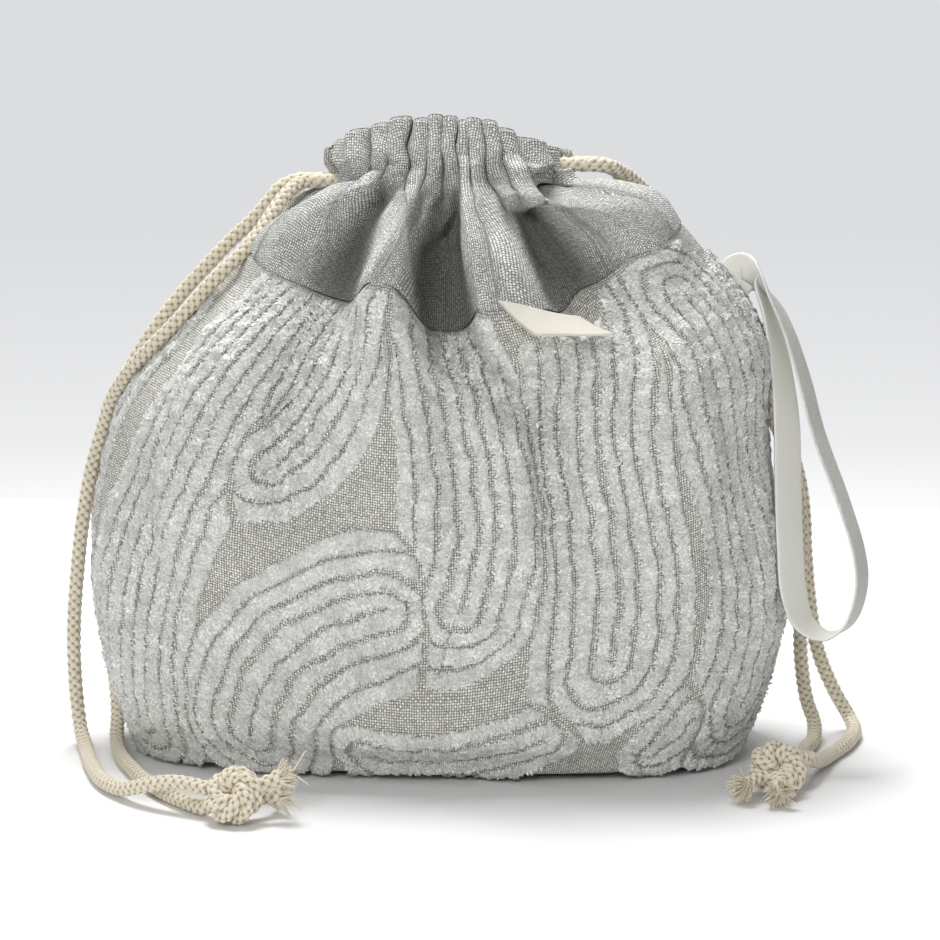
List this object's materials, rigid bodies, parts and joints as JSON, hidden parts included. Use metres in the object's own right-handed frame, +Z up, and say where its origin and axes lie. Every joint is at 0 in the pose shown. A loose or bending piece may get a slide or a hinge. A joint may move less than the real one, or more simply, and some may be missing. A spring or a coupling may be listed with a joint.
{
  "type": "drawstring project bag",
  "caption": "Soft fabric bag with a boxed base, tufted lower panels and a plain gathered band, closed by drawcords that are knotted at each side, with a wrist strap and a folded label.",
  "frame": {"origin": "middle of the base where it rests on the table", "axes": "+Z up through the mouth, +X to the bag's right as seen from the front, the front with the label faces -Y"},
  "size_m": [0.2848, 0.1871, 0.225],
  "materials": {
    "tufted_cloth": "tufted pile on a coarse grey weave",
    "plain_cloth": "coarse grey plain weave",
    "lining_cloth": "smooth pale cotton",
    "cotton_cord": "braided natural cotton",
    "strap_leather": "pale grey, grained outside and smooth inside",
    "label_cloth": "smooth woven ribbon, bare"
  },
  "bodies": {
    "bag": {"outer_front_panel": "tufted_cloth", "outer_back_panel": "tufted_cloth", "band_front": "plain_cloth", "band_back": "plain_cloth", "facing_front": "plain_cloth", "facing_back": "plain_cloth", "lining_front": "lining_cloth", "lining_back": "lining_cloth"},
    "left_drawcord": {"left_cord_loop": "cotton_cord", "left_cord_front_run": "cotton_cord", "left_cord_back_run": "cotton_cord", "left_knot": "cotton_cord", "left_tail_front": "cotton_cord", "left_tail_back": "cotton_cord"},
    "right_drawcord": {"right_cord_loop": "cotton_cord", "right_cord_front_run": "cotton_cord", "right_cord_back_run": "cotton_cord", "right_knot": "cotton_cord", "right_tail_front": "cotton_cord", "right_tail_back": "cotton_cord"},
    "strap": {"wrist_strap": "strap_leather"},
    "label_tab": {"label": "label_cloth"}
  },
  "joints": [
    {"name": "left_cord_pull", "type": "slide", "parent": "bag", "child": "left_drawcord", "axis": [-1, 0, 0], "range_m": [0, 0.008]},
    {"name": "right_cord_pull", "type": "slide", "parent": "bag", "child": "right_drawcord", "axis": [1, 0, 0], "range_m": [0, 0.008]},
    {"name": "strap_swing", "type": "hinge", "parent": "bag", "child": "strap", "pos_m": [0.0965, 0, 0.172], "axis": [0, -1, 0], "range_deg": [0, 100]},
    {"name": "label_flap", "type": "hinge", "parent": "bag", "child": "label_tab", "pos_m": [0.038, -0.0476, 0.1659], "axis": [-0.9476, -0.227, -0.225], "range_deg": [0, 50]}
  ]
}
